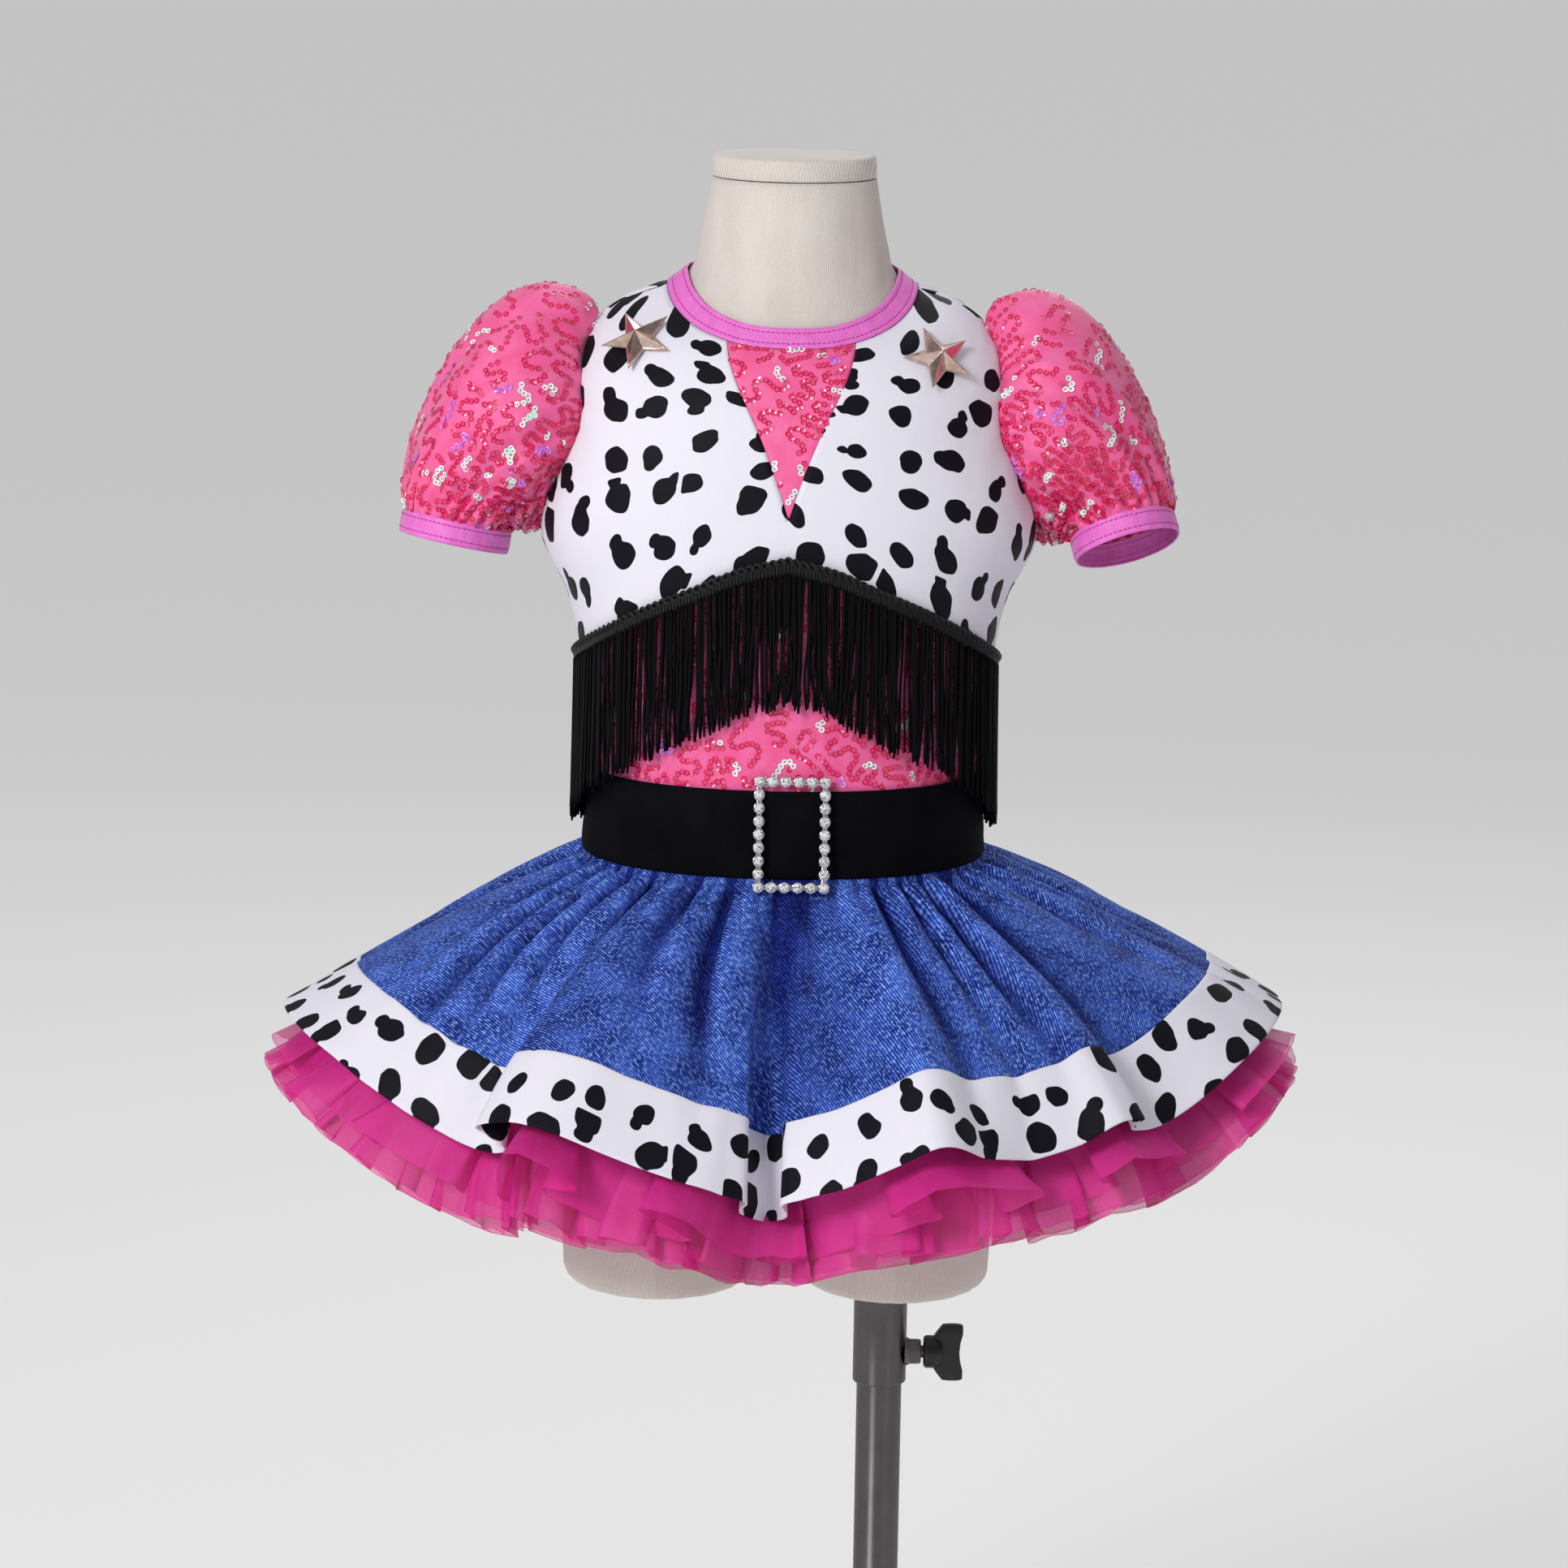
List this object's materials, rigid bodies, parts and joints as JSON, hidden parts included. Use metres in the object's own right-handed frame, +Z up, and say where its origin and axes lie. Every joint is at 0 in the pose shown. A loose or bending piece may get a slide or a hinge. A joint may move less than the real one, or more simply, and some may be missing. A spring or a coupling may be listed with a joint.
{
  "type": "dance dress on a dress form",
  "caption": "Child's western style dance dress with puff sleeves, fringed bodice, buckled belt, denim skirt and tulle ruffles, on a small dress form with a stand",
  "frame": {"origin": "the point of the stand's flat underside, on the floor, that lies straight below the middle of the dress; the stand's pole and round foot plate are 51 mm to +X of it", "axes": "+Z up along the dress and the pole, -Y the front of the dress, +X to the viewer's right as one looks at the front"},
  "size_m": [0.4863, 0.4032, 0.9373],
  "materials": {
    "linen": "ivory linen twill, matte",
    "spotted_print": "smooth white stretch knit printed with near-black irregular spots",
    "sequin_cloth": "coral pink stretch mesh sewn with winding lines of small ring sequins",
    "binding": "orchid pink stretch binding with two stitched rows, soft sheen",
    "belt_cloth": "black stretch cloth, matte",
    "fringe": "black twisted rayon strands under a braided header",
    "denim_print": "blue denim-look twill with pale flecks, matte",
    "tulle": "hot pink stiff tulle, see-through",
    "rhinestones": "clear faceted stones in silver claw settings on a silver bar",
    "star_metal": "polished warm silver metal",
    "chrome": "bright chrome on steel",
    "black_plastic": "black moulded plastic"
  },
  "bodies": {
    "stand": {"stand_base": "chrome", "stand_pole": "chrome"},
    "figure": {"pole_sleeve": "chrome", "dress_form": "linen", "neck_cap": "linen", "bodice_front": "spotted_print", "bodice_back": "spotted_print", "v_insert": "sequin_cloth", "midriff_front": "sequin_cloth", "midriff_back": "sequin_cloth", "neck_binding": "binding", "sleeve_left": "sequin_cloth", "sleeve_right": "sequin_cloth", "cuff_left": "binding", "cuff_right": "binding", "fringe_front": "fringe", "fringe_back": "fringe", "belt": "belt_cloth", "buckle": "rhinestones", "star_left": "star_metal", "star_right": "star_metal", "skirt": "denim_print", "skirt_border": "spotted_print", "tulle_upper": "tulle", "tulle_lower": "tulle"},
    "knob": {"clamp_knob": "black_plastic"}
  },
  "joints": [
    {"name": "height_slide", "type": "slide", "parent": "stand", "child": "figure", "axis": [0, 0, 1], "range_m": [-0.1, 0.1]},
    {"name": "knob_turn", "type": "hinge", "parent": "figure", "child": "knob", "pos_m": [0.072, 0, 0.3625], "axis": [1, 0, 0], "continuous": true}
  ]
}
